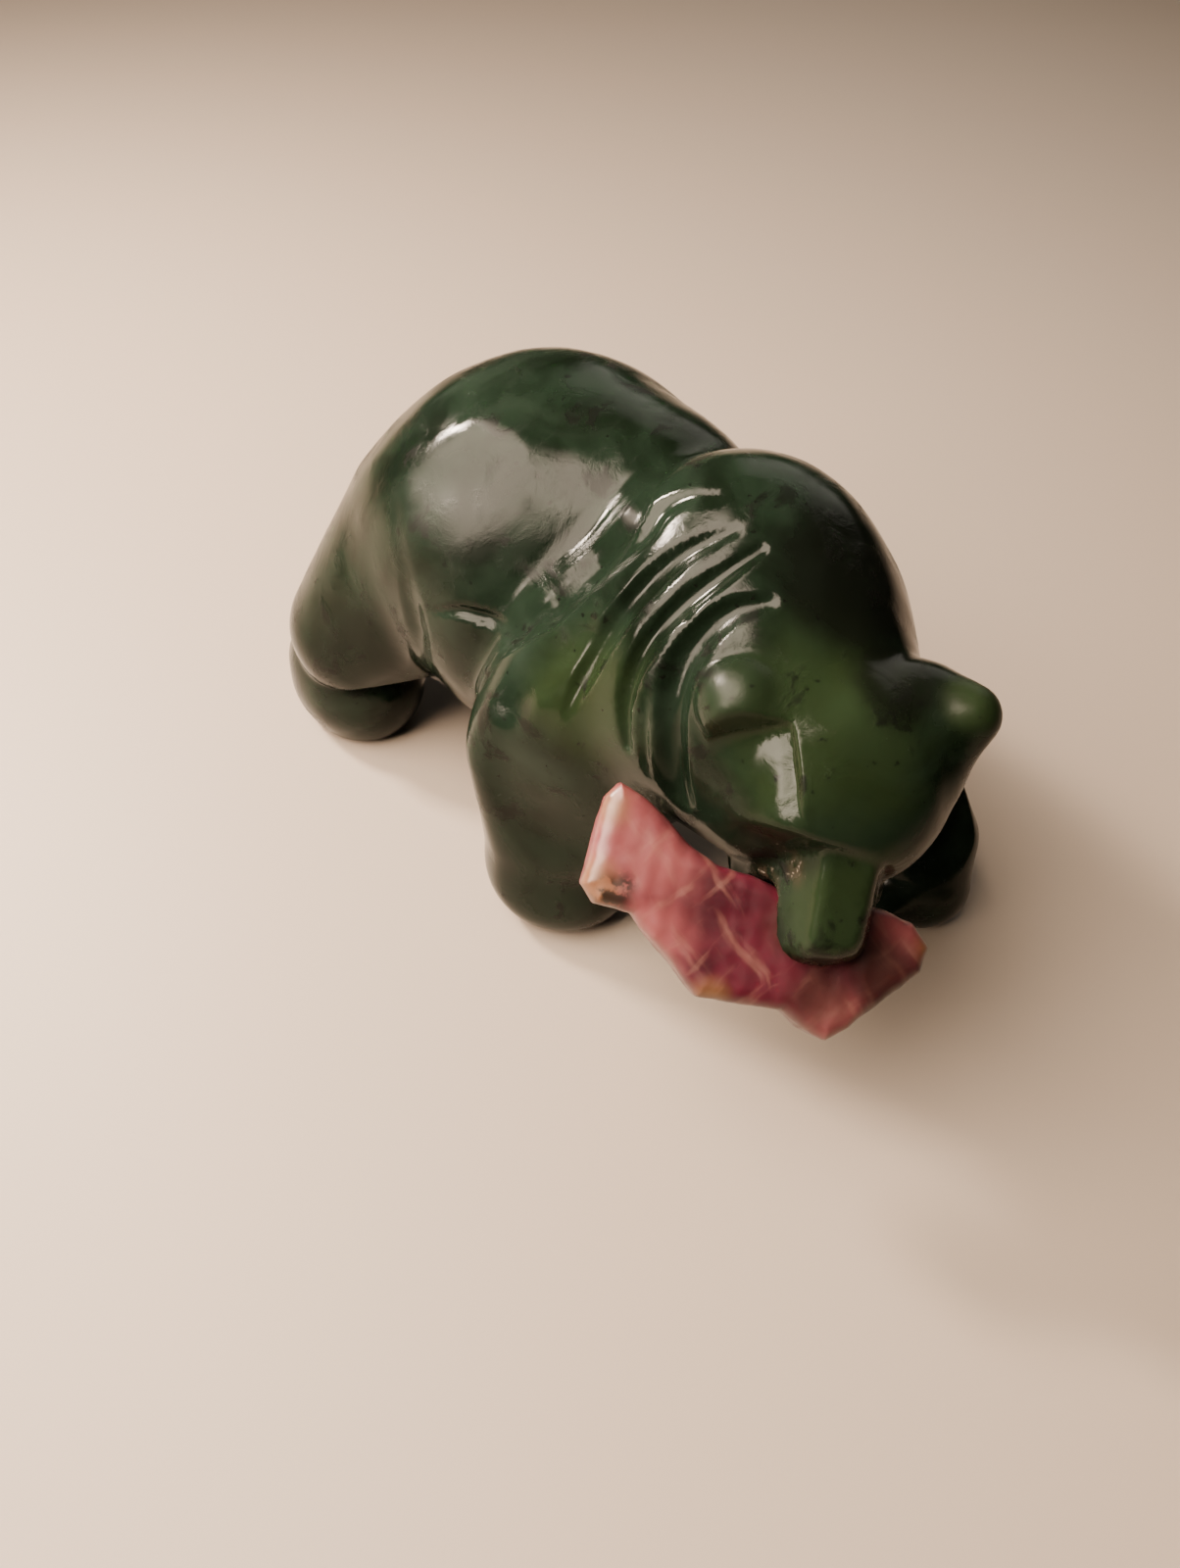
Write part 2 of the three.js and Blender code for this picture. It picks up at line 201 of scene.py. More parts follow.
def smooth_line(points: Array, steps: int) -> Array:
    """A smooth line through points.

    Args:
        points: the points, one a row.
        steps: how many stretches lie between each two.

    Returns:
        The points of the smooth line.
    """
    ends = np.vstack([2 * points[0] - points[1], points, 2 * points[-1] - points[-2]])
    t = (np.arange(steps) / steps)[:, None]
    line = []
    for i in range(1, len(ends) - 2):
        a, b, c, d = ends[i - 1 : i + 3]
        bend = (2 * a - 5 * b + 4 * c - d) * t * t + (3 * b - a - 3 * c + d) * t ** 3
        line.append(0.5 * (2 * b + (c - a) * t + bend))
    return np.vstack([*line, points[-1:]])


@dataclass(frozen=True)
class Stroke:
    """One hollow left by the carver's wheel along a smooth line.

    A stroke with lift runs that many millimetres above its line, away from the body's core, so that a
    wide wheel leaves a shallow hollow.
    """

    name: str
    at: tuple[Place, ...]
    r: tuple[float, ...]
    edge: float = 1.2
    lift: float = 0.0
    steps: int = 10
    close_by: float = 3.0

    def line(self) -> Array:
        """The smooth line that the wheel's middle follows.

        Returns:
            Its points, one a row.
        """
        line = smooth_line(np.array(self.at, float), self.steps)
        if self.lift:
            out_way = line - np.array(CORE)
            out_way[:, 1] = 0
            line = line + out_way * (self.lift / np.linalg.norm(out_way, axis=1))[:, None]
        return line

    def field(self, p: Array) -> Array:
        """Distances to what the wheel sweeps.

        Args:
            p: points.

        Returns:
            Distances, true close by and rough further off.
        """
        line = self.line()
        count = len(self.at) - 1
        radii = np.interp(np.linspace(0, count, count * self.steps + 1), np.arange(count + 1), self.r)
        middle = (line.min(0) + line.max(0)) / 2
        reach = float((np.linalg.norm(line - middle, axis=1) + radii).max())
        away = length(p - np.float32(middle)) - reach
        out = away.copy()
        near = away < self.close_by
        if near.any():
            close = p[near]
            best = np.full(len(close), 1e9, np.float32)
            for i in range(len(line) - 1):
                best = np.minimum(best, limb(close, line[i], line[i + 1], radii[i], radii[i + 1]))
            out[near] = best
        return out

    def carve(self, d: Array, p: Array) -> Array:
        """Cuts the stroke out of a form whose distances at p are d."""
        return meet(d, -self.field(p), self.edge)


@dataclass(frozen=True)
class Ripple:
    """The slow unevenness that hand polishing leaves: it bends the reflections."""

    size: float
    height: float
    waves: int = 7

    def field(self, p: Array) -> Array:
        """Height of the ripple at points.

        Args:
            p: points.

        Returns:
            Heights, at most about the ripple's own height.
        """
        rng = np.random.default_rng(SEED)
        total = np.zeros(len(p), np.float32)
        for _ in range(self.waves):
            way = rng.normal(size=3)
            way *= rng.uniform(0.7, 1.5) * 2 * math.pi / self.size / np.linalg.norm(way)
            total += np.sin(p @ np.float32(way) + np.float32(rng.uniform(0, 2 * math.pi)))
        return total * np.float32(self.height / math.sqrt(self.waves))


@dataclass(frozen=True)
class Rear:
    """Rump, thighs and belly, with the underside cut to an arch that overhangs the hind feet like a rim."""

    rump: Mass = ((1.3, 17.8, 37.9), (25.4, 24.5, 23.1))
    loin: Mass = ((7.9, 2.7, 39.1), (17.4, 17.2, 20.8))
    belly: Mass = ((-3.0, 7.2, 29.0), (16.4, 14.5, 15.0))
    right_thigh: Limb = ((-7.8, 26.3, 33.1), (-23.3, 31.3, 18.1), 17.8, 11.0)
    left_thigh: Limb = ((9, 24, 33), (20, 37, 18.3), 19.0, 12.0)
    right_rim: Flat = ((-33, 35, 12.3), (0.24, -0.05, -1))
    left_rim: Flat = ((32, 40, 12.3), (-0.24, -0.05, -1))
    thigh_seam: float = 4
    loin_seam: float = 6
    belly_seam: float = 9
    arch_seam: float = 4
    rim_edge: float = 1.2

    def field(self, p: Array) -> Array:
        """The rear's field.

        Args:
            p: points.

        Returns:
            Distances to the rear.
        """
        d = ball(p, *self.rump)
        d = join(d, limb(p, *self.right_thigh), self.thigh_seam)
        d = join(d, limb(p, *self.left_thigh), self.thigh_seam)
        d = join(d, ball(p, *self.loin), self.loin_seam)
        arch = join(plane(p, *self.right_rim), plane(p, *self.left_rim), self.arch_seam)
        d = meet(d, arch, self.rim_edge)
        return join(d, ball(p, *self.belly), self.belly_seam)


@dataclass(frozen=True)
class Front:
    """Hump, shoulders, forelegs and neck."""

    hump: Mass = ((6.2, -17.5, 42.5), (19.8, 19.7, 24.3))
    right_shoulder: Mass = ((-8.5, -11.5, 33), (13, 15, 18))
    left_shoulder: Mass = ((20.6, -18.8, 33.4), (13, 15, 17))
    right_shoulder_seam: float = 7
    left_shoulder_seam: float = 6
    throat: Limb = ((4, -24, 44), (3, -35, 43), 19.5, 15)
    right_leg: Limb = ((-12.5, -13.5, 28.9), (-14.6, -12.6, 9.0), 14.0, 9.4)
    right_paw: Mass = ((-13.8, -15.3, 6.0), (10.3, 9.9, 8.2))
    right_paw_seam: float = 4
    right_face: Flat = ((-19.4, -19.7, 22), (-0.74, -0.64, 0.20))
    right_face_edge: float = 2.0
    left_leg: Limb = ((22, -22, 32), (32.3, -38.0, 10.4), 12, 8.2)
    left_face: Flat = ((30.1, -41, 14.8), (-0.38, -0.52, 0.77))
    left_face_edge: float = 1.0
    left_paw: Mass = ((31.1, -39.5, 5.0), (7.7, 9.4, 8.4))
    left_toes: Limb = ((28, -41, 5), (23.5, -42.0, 4.5), 5.0, 3.6)
    left_paw_seam: float = 2

    def shoulders(self, p: Array) -> Array:
        """Distances to the hump and shoulders."""
        d = join(ball(p, *self.hump), ball(p, *self.right_shoulder), self.right_shoulder_seam)
        return join(d, ball(p, *self.left_shoulder), self.left_shoulder_seam)

    def right_foreleg(self, p: Array) -> Array:
        """The upright right foreleg, with the flat ground on its outer side.

        Args:
            p: points.

        Returns:
            Distances to the leg.
        """
        d = join(limb(p, *self.right_leg), ball(p, *self.right_paw), self.right_paw_seam)
        return meet(d, plane(p, *self.right_face), self.right_face_edge)

    def left_foreleg(self, p: Array) -> Array:
        """The left foreleg, which steps forward, with a sloping flat above its paw.

        Args:
            p: points.

        Returns:
            Distances to the leg.
        """
        d = meet(limb(p, *self.left_leg), plane(p, *self.left_face), self.left_face_edge)
        d = join(d, ball(p, *self.left_paw), self.left_paw_seam)
        return join(d, limb(p, *self.left_toes), self.left_paw_seam)

    def neck(self, p: Array) -> Array:
        """Distances to the neck."""
        return limb(p, *self.throat)


@dataclass(frozen=True)
class Head:
    """The turned, lowered head, in its own frame: -y is the nose and +z the crown."""

    at: Place = (2.4, -40.8, 45.0)
    turn: float = -29.5
    nod: float = 26
    tilt: float = 2
    skull: Place = (13.4, 13.8, 12.8)
    crown: Flat = ((0, -2, 12.4), (0.03, -0.45, 0.89))
    crown_edge: float = 2.0
    # The dish on the right side: a round hollow that ends at the brow and at the wall under the crest
    dish_way: Place = (-0.72, -0.28, 0.63)
    dish_radius: float = 22.0
    dish_floor: float = 9.6
    brow: Flat = ((-10, 1.2, 10), (0.12, 0.95, -0.28))
    wall: Flat = ((-9.2, 0.8, 9.3), (0.80, 0.24, -0.55))
    wall_edge: float = 0.8
    dish_edge: float = 0.5
    # The crest's chamfer: the narrow bright band between the dish and the forehead
    crest: Flat = ((-7.5, 0.7, 10.6), (0.988, 0.149, 0.03))
    chamfer: Flat = ((-7.5, 0.7, 10.6), (0.592, 0.291, -0.752))
    crest_edge: float = 0.2
    chamfer_edge: float = 0.35
    muzzle: Limb = ((0, -2, -5), (0, -7, -5.5), 9.6, 6.4)
    muzzle_seam: float = 2
    right_lip: Flat = ((-3.3, -10.7, 7.4), (-0.447, -0.894, 0.05))
    left_lip: Flat = ((-7.5, -9.1, 4), (-0.25, -0.965, 0.05))
    lip_edge: float = 0.6
    snout_root: tuple[float, float] = (-0.1, -11.0)
    snout_turn: float = -6.8
    snout_height: float = 6.2
    snout_half: float = 2.85
    snout_top_way: Place = (0, -0.4, 0.9)
    right_cheek_way: Place = (-0.93, -0.175, 0.36)
    left_cheek_way: Place = (0.92, -0.184, 0.38)
    cheek_edge: float = 1.1
    snout_end: Mass = ((-0.8, 2, -3), (10.2, 12.6, 14))
    snout_end_edge: float = 1.0
    chin: Flat = ((0, 0, -12.5), (0, 0.35, -1))
    chin_edge: float = 2
    snout_seam: float = 0.8
    right_ear: Limb = ((-8.6, 4.6, 4.4), (-11.6, 4.4, 7.4), 6.6, 4.8)
    right_ear_seam: float = 4.0
    left_ear: Limb = ((8.2, 4.4, 4.8), (11.9, 3.6, 9.4), 6.2, 2.9)
    left_ear_web: Limb = ((11.9, 3.0, 8.8), (9.4, -1.2, 4.6), 2.6, 3.4)
    web_seam: float = 2.5
    left_ear_seam: float = 2.4

    def inside(self, p: Array) -> Array:
        """Points in the head's own frame."""
        return (p - np.float32(self.at)) @ turned(self.turn, self.nod, self.tilt)

    def dome(self, q: Array) -> Array:
        """The dome and the right ear, with the dish under the brow and the chamfered crest.

        Args:
            q: points in the head's own frame.

        Returns:
            Distances to the dome.
        """
        d = ball(q, (0, 0, 0), self.skull)
        d = meet(d, plane(q, *self.crown), self.crown_edge)
        d = join(d, limb(q, *self.right_ear), self.right_ear_seam)
        way = np.array(self.dish_way)
        way *= (self.dish_floor + self.dish_radius) / np.linalg.norm(way)
        dish = ball(q, tuple(way), (self.dish_radius,) * 3)
        brow = plane(q, *self.brow)
        dish = meet(meet(dish, plane(q, *self.wall), self.wall_edge), brow, self.dish_edge)
        d = meet(d, -dish, self.dish_edge)
        band = meet(plane(q, *self.chamfer), plane(q, *self.crest), self.crest_edge)
        return meet(d, -meet(band, brow, self.dish_edge), self.chamfer_edge)

    def face(self, q: Array) -> Array:
        """The dome with the lower face, cut off at the lip over the fish.

        Args:
            q: points in the head's own frame.

        Returns:
            Distances to the face.
        """
        d = join(self.dome(q), limb(q, *self.muzzle), self.muzzle_seam)
        d = meet(d, plane(q, *self.left_lip), self.lip_edge)
        return meet(d, plane(q, *self.right_lip), self.lip_edge)

    def snout(self, q: Array) -> Array:
        """The box-shaped snout, turned a little to the left, with its bevelled cheeks.

        Args:
            q: points in the head's own frame.

        Returns:
            Distances to the snout.
        """
        turn = math.radians(self.snout_turn)
        x = q[:, 0] - np.float32(self.snout_root[0])
        y = q[:, 1] - np.float32(self.snout_root[1])
        own = np.stack([
            x * np.float32(math.cos(turn)) + y * np.float32(math.sin(turn)),
            y * np.float32(math.cos(turn)) - x * np.float32(math.sin(turn)),
            q[:, 2],
        ], 1)
        s = plane(own, (0, 0, self.snout_height), self.snout_top_way)
        right_edge = (-self.snout_half, 0, self.snout_height)
        s = meet(s, plane(own, right_edge, self.right_cheek_way), self.cheek_edge)
        left_edge = (self.snout_half, 0, self.snout_height)
        s = meet(s, plane(own, left_edge, self.left_cheek_way), self.cheek_edge)
        s = meet(s, ball(own, *self.snout_end), self.snout_end_edge)
        return meet(s, plane(q, *self.chin), self.chin_edge)

    def field(self, p: Array) -> Array:
        """The head's field: face, snout and the pointed left ear with its web to the cheek.

        Args:
            p: points.

        Returns:
            Distances to the head.
        """
        q = self.inside(p)
        d = join(self.face(q), self.snout(q), self.snout_seam)
        ear = join(limb(q, *self.left_ear), limb(q, *self.left_ear_web), self.web_seam)
        return join(d, ear, self.left_ear_seam)


@dataclass(frozen=True)
class FishSlab:
    """The flat fish: an outline in its own plane, nodding a little more than the head."""

    nod: float = 35
    in_head: Place = (0, -15, -6.5)
    thick: float = 6.4
    edge: float = 2.2
    outline: tuple[tuple[float, float], ...] = (
        (-22.7, 13.9), (-20.5, 12.6), (-17.4, 9.8), (-14.7, 6.9), (-12.0, 4.9), (-8.0, 3.9), (-2.3, 1.2),
        (3.0, 0.6), (7.0, 0.2), (10.2, -1.3), (12.0, -4.0), (11.0, -6.8), (6.4, -10.1), (2.6, -12.8),
        (0.0, -14.1), (-2.4, -12.9), (-4.8, -10.9), (-10.2, -10.1), (-14.2, -9.3), (-16.7, -6.1),
        (-19.4, -3.2), (-21.2, -0.4), (-25.4, 0.6), (-26.9, 2.8), (-25.6, 7.6), (-24.3, 12.4),
    )
    head: Head = Head()

    def middle(self) -> Array:
        """The slab's middle, in the layout."""
        head = turned(self.head.turn, self.head.nod, self.head.tilt)
        return np.float32(self.head.at) + head @ np.float32(self.in_head)

    def axes(self) -> Array:
        """The slab's axes, as columns: along it, across it and through it."""
        return turned(self.head.turn, self.nod, self.head.tilt)

    def on_top(self, x: float, y: float) -> Place:
        """The layout's place of a point on the slab's upper side."""
        return tuple(float(c) for c in self.middle() + self.axes() @ np.float32((x, y, self.thick / 2)))

    def inside(self, p: Array) -> Array:
        """Points in the fish's own frame."""
        return (p - self.middle()) @ self.axes()

    def outline_distance(self, q: Array) -> Array:
        """How far points are from the outline in the fish's plane.

        Args:
            q: points in the fish's own frame.

        Returns:
            Distances, negative inside the outline.
        """
        corners = np.array(self.outline, np.float32)
        best = np.full(len(q), 1e18, np.float32)
        inner = np.zeros(len(q), bool)
        for a, b in zip(corners, np.roll(corners, 1, 0)):
            edge = b - a
            w = q[:, :2] - a
            t = np.clip(w @ edge / float(edge @ edge), 0, 1)
            best = np.minimum(best, ((w - edge * t[:, None]) ** 2).sum(1))
            above = q[:, 1] >= a[1]
            below = q[:, 1] < b[1]
            left = edge[0] * w[:, 1] > edge[1] * w[:, 0]
            inner ^= (above & below & left) | (~above & ~below & ~left)
        return np.sqrt(best) * np.where(inner, -1, 1)

    def field(self, p: Array) -> Array:
        """Distances to the slab."""
        q = self.inside(p)
        return meet(self.outline_distance(q), np.abs(q[:, 2]) - self.thick / 2, self.edge)


# Each stroke with its middle line, its radii along it, and where it needs them its edge and lift
FOLDS = (
    Stroke("valley behind the right shoulder",
           ((1, -5, 61), (-5.5, -8.5, 60), (-10.5, -8, 54.5), (-15, -6.5, 50), (-18.5, -3.5, 43)),
           (0.8, 2.8, 4.2, 4.4, 2.4)),
    Stroke("fold on the hump",
           ((0, -17, 66), (-2, -14.5, 65), (-4.5, -13, 63), (-7, -13.5, 60.5), (-11, -12, 55.5)),
           (0.4, 1.0, 1.5, 1.5, 1.0)),
    Stroke("first neck fold",
           ((-0.9, -21.8, 65), (-5.9, -19.8, 62.1), (-10.0, -18.8, 58), (-13.4, -18.3, 52.8),
            (-15.8, -18.5, 48), (-18.6, -19.0, 42.8)),
           (0.3, 1.1, 1.7, 1.8, 1.3, 0.3), 0.9),
    Stroke("second neck fold",
           ((0.2, -25.2, 64.4), (-4.3, -24.9, 62.5), (-9.0, -24.2, 59.1), (-12.5, -24.0, 54.7),
            (-14.8, -25.0, 49.3), (-15.3, -27.2, 44.1)),
           (0.3, 0.9, 1.4, 1.4, 1.2, 0.6), 0.9),
    Stroke("shallow fold between the second and the last",
           ((-9, -25.9, 59), (-12.5, -26.5, 55.5), (-14.5, -28, 50.5), (-15, -30.5, 42)),
           (0.3, 0.7, 0.8, 0.5), 0.8),
    Stroke("fold behind the ear",
           ((-2.1, -30.1, 62), (-5.8, -28.6, 60.8), (-9.4, -28.3, 57.8), (-12.0, -29.3, 54.2),
            (-13.4, -31.2, 50.0), (-13.5, -34.5, 41.5)),
           (0.6, 1.4, 1.9, 1.9, 1.9, 1.7)),
    Stroke("leaf on the right thigh",
           ((-22, 18.5, 48.5), (-24, 15.5, 46), (-25, 12, 42), (-24, 10, 34), (-22.5, 11.5, 25)),
           (1.9, 3.0, 3.6, 3.4, 2.2), 0.9, 1.8),
    Stroke("leaf on the right shoulder",
           ((-14.5, -15.8, 50.6), (-18.8, -12.9, 45), (-21.9, -12.9, 40.4), (-23.8, -15.4, 37.6),
            (-24.5, -17.5, 35)),
           (2.6, 3.4, 3.9, 3.6, 2.6), 1.4, 2.5),
    Stroke("valley behind the left shoulder",
           ((13.5, -3.5, 59), (21, -3, 53), (25.5, -2, 45.5), (26.5, -1, 37), (24.5, 0, 29)),
           (0.8, 2.8, 4.0, 4.2, 3.0)),
    Stroke("left neck fold, back",
           ((26, -16.5, 53), (28.5, -15.5, 48), (31, -14.5, 42)), (0.8, 1.9, 0.9)),
    Stroke("left neck fold, front",
           ((24.5, -26, 51.5), (27, -25.5, 47), (30, -26, 42.5)), (0.8, 1.9, 0.9)),
    Stroke("crease of the left thigh",
           ((25, 24, 46.5), (29, 22, 40.5), (29.5, 20, 32), (27, 18.5, 24.5)), (0.8, 3.0, 3.4, 1.6)),
    Stroke("ledge over the belly",
           ((-22.4, 7.4, 39.2), (-19.9, 3.7, 41.2), (-17.4, 0.2, 41.6), (-17.3, -4.8, 43.9)),
           (0.3, 0.7, 0.7, 0.4), 0.5),
    Stroke("slit behind the right foreleg",
           ((-17.3, -5.3, 44), (-19.1, -4.4, 40.6), (-21.0, -3.8, 36.4), (-21.6, -2.0, 31)),
           (0.4, 1.0, 1.2, 0.8), 0.6),
    Stroke("shallow dish on the rump",
           ((-16.2, 11.4, 54.0), (-13.0, 8.2, 54.6)), (13.1, 13.0), 2.5, 12.7),
)


@dataclass(frozen=True)
class BearForm:
    """The whole bear as one field: the masses, the folds and the finer carving."""

    rear: Rear = Rear()
    front: Front = Front()
    head: Head = Head()
    fish: FishSlab = FishSlab()
    right_foot: Mass = ((-24.3, 33.6, 7.5), (10.4, 12.3, 11.7))
    left_foot: Mass = ((21.0, 43.0, 7.5), (10.4, 12.3, 11.7))
    body_seam: float = 3
    foot_seam: float = 0.8
    leg_seam: float = 4
    head_seam: float = 0.8
    mouth_gap: float = 0.3
    mouth_edge: float = 0.9
    sole_round: float = 0.7
    ripples: tuple[Ripple, ...] = (Ripple(19.0, 0.10), Ripple(7.5, 0.03))

    def feet(self, p: Array) -> Array:
        """Distances to the two hind feet."""
        return np.minimum(ball(p, *self.right_foot), ball(p, *self.left_foot))

    def field(self, p: Array) -> Array:
        """The bear's field.

        Args:
            p: points in the layout.

        Returns:
            Distances, negative inside the stone.
        """
        d = join(self.rear.field(p), self.front.shoulders(p), self.body_seam)
        d = join(d, self.feet(p), self.foot_seam)
        d = join(d, self.front.right_foreleg(p), self.leg_seam)
        d = join(d, self.front.left_foreleg(p), self.leg_seam)
        d = join(d, self.front.neck(p), self.body_seam)
        for stroke in FOLDS:
            d = stroke.carve(d, p)
        d = join(d, self.head.field(p), self.head_seam)
        for ripple in self.ripples:
            d = d + ripple.field(p)
        d = meet(d, -p[:, 2], self.sole_round)
        return meet(d, self.mouth_gap - self.fish.field(p), self.mouth_edge)


# Meshes


def fine_copy(node: str, name: str, voxel: float) -> bpy.types.Object:
    """A finely and evenly meshed copy of a solid.

    Args:
        node: the frame's node.
        name: name of the new piece.
        voxel: size of the new faces in metres.

    Returns:
        The new object, at the origin.
    """
    mesh = bpy.data.meshes.new(name)
    bm = bmesh.new()
    bm.from_mesh(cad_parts[node].data)
    bmesh.ops.remove_doubles(bm, verts=bm.verts, dist=1e-6)
    bm.to_mesh(mesh)
    bm.free()
    piece = bpy.data.objects.new(name, mesh)
    bpy.context.scene.collection.objects.link(piece)
    remesh = piece.modifiers.new("even_faces", "REMESH")
    remesh.mode = "VOXEL"
    remesh.voxel_size = voxel
    evaluated = piece.evaluated_get(bpy.context.evaluated_depsgraph_get())
    fine = bpy.data.meshes.new_from_object(evaluated)
    piece.modifiers.clear()
    piece.data = fine
    fine.name = name
    return piece


def slope(form: Form, p: Array, reach: float) -> tuple[Array, Array]:
    """The field's value and its slope at points.

    Args:
        form: the form whose field is read.
        p: points.
        reach: distance between the samples.

    Returns:
        Values and slopes.
    """
    corners = np.float32([(1, -1, -1), (-1, -1, 1), (-1, 1, -1), (1, 1, 1)])
    values = [form.field(p + c * np.float32(reach)) for c in corners]
    return sum(values) / 4, sum(v[:, None] * c for v, c in zip(values, corners)) / (4 * reach)


def settle(form: Form, p: Array, rounds: int) -> Array:
    """Moves points along the field's slope toward its surface.

    Args:
        form: the form that they settle on.
        p: points.
        rounds: how many times they move.

    Returns:
        The points, none further from its start than FURTHEST.
    """
    start = p.copy()
    for _ in range(rounds):
        value, way = slope(form, p, SETTLE_REACH)
        p = p - way * (value / np.maximum((way * way).sum(1), 0.2))[:, None]
    moved = p - start
    far = np.maximum(length(moved), 1e-6)
    return start + moved * np.minimum(1, FURTHEST / far)[:, None]


def relax(p: Array, edges: Array) -> Array:
    """Moves each point half of the way to the middle of its neighbours, which evens out the faces.

    Args:
        p: points.
        edges: pairs of neighbours, by number.

    Returns:
        The moved points.
    """
    count = len(p)
    a, b = edges[:, 0], edges[:, 1]
    degree = np.bincount(a, minlength=count) + np.bincount(b, minlength=count)
    middle = np.stack([
        np.bincount(a, p[b, m], count) + np.bincount(b, p[a, m], count) for m in range(3)
    ], 1) / degree[:, None]
    return (p + (middle - p) * 0.5).astype(np.float32)


def carve(piece: bpy.types.Object, form: Form, rounds: int = 3) -> None:
    """Carves a fine mesh to a form, and shades it by the form's own slope.

    Args:
        piece: the object whose mesh is carved.
        form: the form that it is carved to.
        rounds: how many times it is settled and relaxed.
    """
    mesh = piece.data
    co = np.empty(len(mesh.vertices) * 3, np.float32)
    mesh.vertices.foreach_get("co", co)
    ends = np.empty(len(mesh.edges) * 2, np.int32)
    mesh.edges.foreach_get("vertices", ends)
    edges = ends.reshape(-1, 2)
    p = co.reshape(-1, 3) / np.float32(MM) + np.float32(LAYOUT_MIDDLE)
    for _ in range(rounds):
        p = settle(form, p, 2)
        p = relax(p, edges)
    p = settle(form, p, 3)
    _, normals = slope(form, p, SHADE_REACH)
    normals /= np.maximum(length(normals), 1e-6)[:, None]
    mesh.vertices.foreach_set("co", ((p - np.float32(LAYOUT_MIDDLE)) * np.float32(MM)).ravel())
    mesh.shade_smooth()
    mesh.normals_split_custom_set_from_vertices(normals.tolist())
    mesh.update()


# Materials


def linear(colour: str) -> tuple[float, float, float, float]:
    """An sRGB hex colour as the linear numbers that the shaders take.

    Args:
        colour: the hex word.

    Returns:
        Red, green, blue and alpha.
    """
    out = []
    for i in (0, 2, 4):
        c = int(colour.lstrip("#")[i : i + 2], 16) / 255
        out.append(c / 12.92 if c <= 0.04045 else ((c + 0.055) / 1.055) ** 2.4)
    return (*out, 1.0)


def add_node(tree: bpy.types.NodeTree, kind: str, values: dict | None = None, links: dict | None = None,
             **settings: object) -> bpy.types.Node:
    """Adds a node with its settings, its plain values and what its sockets are linked to.

    Args:
        tree: the material's or world's node tree.
        kind: the node's type.
        values: plain values by socket name or number.
        links: output sockets by input socket name or number.
        **settings: the node's own options.

    Returns:
        The node.
    """
    node = tree.nodes.new(kind)
    for key, value in settings.items():
        setattr(node, key, value)
    for key, value in (values or {}).items():
        node.inputs[key].default_value = value
    for key, source in (links or {}).items():
        tree.links.new(source, node.inputs[key])
    return node


def per_metre(millimetres: float) -> float:
    """The scale of a pattern whose features are that many millimetres apart."""
    return 1 / (millimetres * MM)


@dataclass(frozen=True)
class Cloud:
    """One cloudy pattern: its size in millimetres, its finer layers, and the range of it that shows."""

    size: float
    detail: float
    rough: float = 0.55
    bend: float = 0.0
    low: float = 0.0
    high: float = 1.0
    to_low: float = 0.0
    to_high: float = 1.0

    def noise(self) -> dict[str, float]:
        """What the noise is given."""
        return {"Scale": per_metre(self.size), "Detail": self.detail, "Roughness": self.rough,
                "Distortion": self.bend}

    def shown(self) -> dict[str, float]:
        """What the smooth step after it is given."""
        return {"From Min": self.low, "From Max": self.high, "To Min": self.to_low, "To Max": self.to_high}


